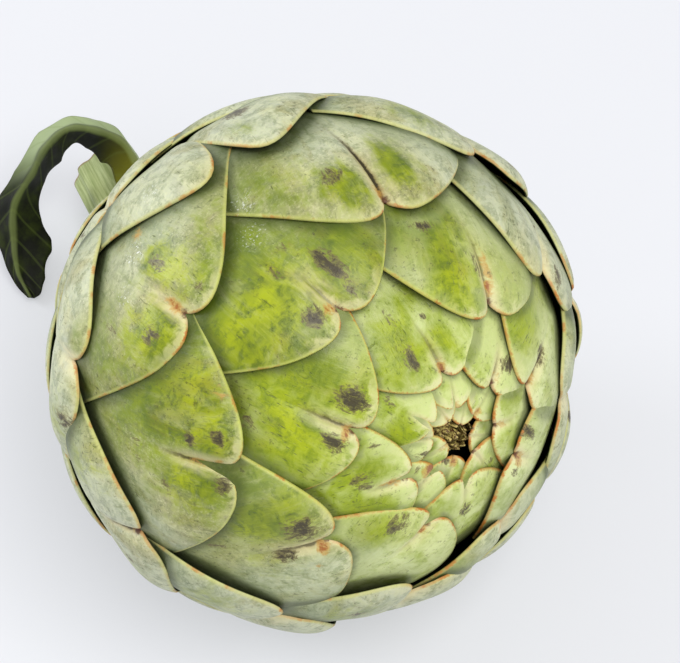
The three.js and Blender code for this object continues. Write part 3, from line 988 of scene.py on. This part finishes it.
dry = Finish("dry_tips")
fibre = dry.noise(dry.place(), 2200.0, 3.0, 0.7)
height_share = dry.attribute("height")
dry_colour = dry.mix(tint(196, 180, 104), tint(84, 54, 20), fibre.fade(0.42, 0.58))
# Painted shade: the tips darken toward their foot, deep in the hollow.
dry_colour = dry.mix(tint(40, 26, 12), dry_colour, height_share.fade(0.3, 0.85))
dry.surface({"Base Color": dry_colour, "Roughness": 0.6})
tuft.data.materials.append(dry.material)
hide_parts("head")
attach(tuft, "root")
print("tips in the crown:", TIP_COUNT)

# %% [markdown]
# ## A curve through points
#
# The stem and the leaf follow smooth curves through a few points. This is the
# centripetal Catmull-Rom curve, which passes through every point without tight loops.

# %% Curve
def on_curve(points, share):
    """The point at `share` of the way along a curve through these points."""
    steps = len(points) - 1
    at = min(int(share * steps), steps - 1)
    local = share * steps - at
    here, there = points[at], points[at + 1]
    before = points[at - 1] if at > 0 else 2 * here - there
    after = points[at + 2] if at + 2 <= steps else 2 * there - here
    spans = [math.sqrt((b - a).length) or 1 for a, b in (
        (before, here), (here, there), (there, after))]
    pace = (there - here) / spans[1]
    leave = (here - before) / spans[0] - (there - before) / (spans[0] + spans[1]) + pace
    arrive = pace - (after - here) / (spans[1] + spans[2]) + (after - there) / spans[2]
    leave, arrive = leave * spans[1], arrive * spans[1]
    return (
        here + leave * local
        + (3 * (there - here) - 2 * leave - arrive) * local ** 2
        + (2 * (here - there) + leave + arrive) * local ** 3)


# %% [markdown]
# ## Stem
#
# The stalk is a fibrous rod with low ribs. It starts inside the head and bends down until
# its cut end rests on the table. A cylinder is cut into rings, and each ring is carried
# to its place along the route. The cut end gets a few rings of its own for the pale pith
# and the darker, drying skin round it.

# %% Stem shape
STEM_ON_AXIS = (32, 40, 50)
STEM_BEND = ((4, 62, 15.3), (8, 76, 10.4), (12, 90, 7.75))
STEM_RADIUS_HEAD = 9
STEM_RADIUS_CUT = 7.6
STEM_RIBS = 9
STEM_RIB_HEIGHT = 0.35
STEM_FIBRE_HEIGHT = 0.22
STEM_SIDES = 90
STEM_RINGS = 48
STEM_STEP = 0.01
CUT_RINGS = (0.1, 0.14, 0.2, 0.22, 0.2)
CUT_DISH = 0.7
KEPT_INSIDE = 0.1  # mm that the finer stem stays inside the solid

toward_stem = Vector((0, math.cos(HEAD_PITCH), -math.sin(HEAD_PITCH)))
stem_route = [head_middle / MM + toward_stem * distance for distance in STEM_ON_AXIS]
stem_route += [Vector(point) for point in STEM_BEND]


def stem_place(x, y, along):
    """Where a point of a rod of radius 1 goes, `along` from 0 in the head to 1 at the cut."""
    ahead = on_curve(stem_route, min(along + STEM_STEP, 1))
    ahead -= on_curve(stem_route, max(along - STEM_STEP, 0))
    ahead.normalize()
    across = Vector((0, 0, 1)).cross(ahead).normalized()
    upward = across.cross(ahead)
    around = math.atan2(y, x)
    reach = math.hypot(x, y)
    fibres = STEM_FIBRE_HEIGHT * noise.noise(Vector((x * 5, y * 5, along * 2.5)))
    round_part = lerp(STEM_RADIUS_HEAD, STEM_RADIUS_CUT, along)
    rib = STEM_RIB_HEIGHT * math.cos(STEM_RIBS * around) + fibres
    radius = reach * (round_part + rib - KEPT_INSIDE)
    dished = CUT_DISH * (1 - reach ** 2) * smooth(along, 0.97, 1) - KEPT_INSIDE
    return (
        on_curve(stem_route, along)
        + across * radius * math.cos(around) + upward * radius * math.sin(around)
        - ahead * dished) * MM


stem_mesh = bmesh.new()
bmesh.ops.create_cone(
    stem_mesh, cap_ends=True, cap_tris=False, segments=STEM_SIDES,
    radius1=1, radius2=1, depth=1)
lengthwise = [
    edge for edge in stem_mesh.edges if abs(edge.verts[0].co.z - edge.verts[1].co.z) > 0.5]
bmesh.ops.subdivide_edges(
    stem_mesh, edges=lengthwise, cuts=STEM_RINGS - 1, use_grid_fill=True)
for ring_width in CUT_RINGS:
    cap = max(stem_mesh.faces, key=lambda face: face.calc_center_median().z)
    bmesh.ops.inset_region(stem_mesh, faces=[cap], thickness=ring_width)
rod = stem_mesh.verts.layers.float_vector.new("rod")
for point in stem_mesh.verts:
    x, y, z = point.co
    point[rod] = (x, y, z + 0.5)
    point.co = stem_place(x, y, z + 0.5)
bmesh.ops.recalc_face_normals(stem_mesh, faces=stem_mesh.faces[:])
stem = add_object("stalk", stem_mesh)
print("faces on the stem:", len(stem.data.polygons))

# %% Stem finish
bark = Finish("stem_skin")
girth_x, girth_y, length_share = bark.vector_attribute("rod")
reach = bark.distance(girth_x, girth_y)
fibre_place = bark.vector(girth_x * 8, girth_y * 8, length_share * 4)
fibres = bark.noise(fibre_place, 1.6, 4.0, 0.6)
blotches = bark.noise(bark.place(), 90.0, 3.0)
bark_colour = bark.mix(tint(134, 150, 84), tint(176, 188, 130), fibres.fade(0.35, 0.65))
bark_colour = bark.mix(bark_colour, tint(150, 160, 104), blotches.fade(0.45, 0.7) * 0.6)
bark_colour = bark.mix(
    bark_colour, tint(112, 92, 56), bark.noise(fibre_place, 4.5, 2.0).fade(0.66, 0.76) * 0.6)
on_cut = length_share.fade(0.992, 0.999)
pith = bark.noise(bark.vector(girth_x * 8, girth_y * 8, 0.0), 1.4, 3.0, 0.6)
cut_colour = bark.mix(tint(204, 200, 158), tint(176, 170, 118), pith.fade(0.4, 0.65))
bundles = (1 - (reach - 0.8).abs().fade(0.03, 0.13)) * pith.fade(0.42, 0.6)
cut_colour = bark.mix(cut_colour, tint(120, 112, 62), bundles * 0.8)
cut_colour = bark.mix(cut_colour, tint(122, 84, 46), reach.fade(0.86, 0.99) * 0.75)
bark.surface({
    "Base Color": bark.mix(bark_colour, cut_colour, on_cut),
    "Roughness": 0.62 + (fibres - 0.5) * 0.2,
    "Normal": bark.bump(fibres + pith * on_cut, 0.35 * MM, 0.7),
    "Sheen Weight": 0.1,
})
stem.data.materials.append(bark.material)
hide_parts("stem")
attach(stem, "root")
print("nodes in the stem's skin:", len(bark.tree.nodes))

# %% [markdown]
# ## Stem leaf
#
# The one leaf arches up from the stem, folds along its rib like a paper dart, and droops
# until its tip meets the table. Its two edges and its rib are three curves. A grid is
# stretched between them, lobes are cut into its edges by a formula, and the veins are
# raised a little. Its colour holds painted light and shade: one flank is painted pale as
# if lit, the rest is dark green deepened to near-black as painted shade, and the blade near
# the stem is olive-yellow, painted light shining through it.

# %% Leaf shape
# Points of the far edge, of the rib and of the near edge, from the stem to the tip, in mm.
LEAF_STATIONS = (
    ((8, 66, 12), (7, 67, 15), (4, 67, 14)),
    ((13, 76, 20), (11, 75, 23), (6, 76, 20)),
    ((14, 83, 25), (12, 82, 28), (8, 83, 21)),
    ((12, 90, 29), (8, 86, 32), (6, 86, 24)),
    ((8, 95, 29), (4, 90, 32), (4, 89, 25)),
    ((1, 98, 25), (-1, 92, 28), (2, 92, 20)),
    ((-7, 99, 18), (-5, 93, 21), (-1, 93, 13)),
    ((-13, 99, 11), (-11, 93, 14), (-6, 89, 7)),
    ((-18, 93, 5), (-15, 89, 8), (-8.5, 82, 3)),
    ((-20, 86, 2.5), (-18, 84, 4), (-13.5, 77, 1.3)),
    ((-19.5, 79, 1.2), (-19, 78.5, 1.5), (-18.5, 78, 1.2)),
)
LEAF_LOBES = 4
LEAF_CUT = 0.3
LEAF_TEETH = 0.05
LEAF_THICKNESS = 1.2
LEAF_RIB = (0.9, 0.12)  # its height in mm, and its half width as a share of the flank
LEAF_VEIN_HEIGHT = 0.11
LEAF_VEIN_SLANT = 0.07
LEAF_STEP = 0.004

far_edge, leaf_rib, near_edge = [
    [Vector(station[curve]) for station in LEAF_STATIONS] for curve in range(3)]


def on_leaf(across, along):
    """The leaf's middle surface, from -1 at the far edge to 1 at the near one, in mm."""
    rib = on_curve(leaf_rib, along)
    edge = on_curve(far_edge if across < 0 else near_edge, along)
    lobes = abs(math.sin(LEAF_LOBES * math.pi * along))
    teeth = LEAF_TEETH * abs(math.sin(11 * math.pi * along + 1))
    cut = (LEAF_CUT * lobes + teeth) * smooth(along, 0.1, 0.3)
    return rib.lerp(edge, abs(across) * (1 - cut))


leaf_mesh = two_skins(20, 130)
blade = leaf_mesh.verts.layers.float_vector.new("blade")
for point in leaf_mesh.verts:
    x, y, face = point.co
    along = (y + 1) / 2
    middle = clamp(along, LEAF_STEP, 1 - LEAF_STEP)
    right = on_leaf(min(x + 0.05, 1), middle) - on_leaf(max(x - 0.05, -1), middle)
    ahead = on_leaf(x, middle + LEAF_STEP) - on_leaf(x, middle - LEAF_STEP)
    outward = right.cross(ahead).normalized()
    rib_height = LEAF_RIB[0] * math.exp(-((x / LEAF_RIB[1]) ** 2))
    thickness = LEAF_THICKNESS * lerp(0.9, 0.3, abs(x)) + rib_height
    vein_wave = math.sin(26 * math.pi * (along - LEAF_VEIN_SLANT * abs(x)))
    ripple = 0.5 * abs(x) ** 2 * noise.noise(Vector((x * 2, along * 14, 4.2)))
    height = (face - 0.5) * thickness + LEAF_VEIN_HEIGHT * vein_wave * (1 - abs(x)) + ripple
    point[blade] = (x, along, face)
    point.co = (on_leaf(x, along) + outward * height) * MM
bmesh.ops.recalc_face_normals(leaf_mesh, faces=leaf_mesh.faces[:])
leaf = add_object("leaf_blade", leaf_mesh)
print("faces on the leaf:", len(leaf.data.polygons))

# %% Leaf finish
leaf_finish = Finish("leaf_skin")
leaf_across, leaf_along = leaf_finish.vector_attribute("blade")[:2]
mottle = leaf_finish.noise(leaf_finish.place(), 220.0, 4.0, 0.6)
side_veins = ((leaf_along - leaf_across.abs() * LEAF_VEIN_SLANT) * 81.7).maths("SINE")
painted_lit_flank = (1 - leaf_across.fade(-0.35, 0.1)) * (1 - leaf_along.fade(0.5, 0.68))
# Painted shade: a near-black green base; painted light: olive-yellow near the stem, where light
# shines through, and the far flank pale as if lit.
leaf_colour = leaf_finish.mix(tint(4, 8, 0), tint(36, 46, 0), mottle.fade(0.4, 0.75))
leaf_colour = leaf_finish.mix(leaf_colour, tint(112, 112, 8), (1 - leaf_along.fade(0.12, 0.3)) * 0.8)
leaf_colour = leaf_finish.mix(leaf_colour, tint(156, 172, 128), painted_lit_flank * 0.9)
leaf_colour = leaf_finish.mix(leaf_colour, tint(96, 112, 48), side_veins.fade(0.85, 1) * 0.18)
leaf_colour = leaf_finish.mix(
    leaf_colour, tint(120, 134, 76), (1 - leaf_across.abs().fade(0.03, 0.12)) * 0.5)
leaf_finish.surface({
    "Base Color": leaf_colour,
    "Roughness": 0.6 + (mottle - 0.5) * 0.2,
    "Normal": leaf_finish.bump(mottle + side_veins * 0.3, 0.2 * MM, 0.6),
    "Specular IOR Level": 0.2,
})
leaf.data.materials.append(leaf_finish.material)
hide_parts("stem_leaf")
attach(leaf, "root")
print("nodes in the leaf's skin:", len(leaf_finish.tree.nodes))
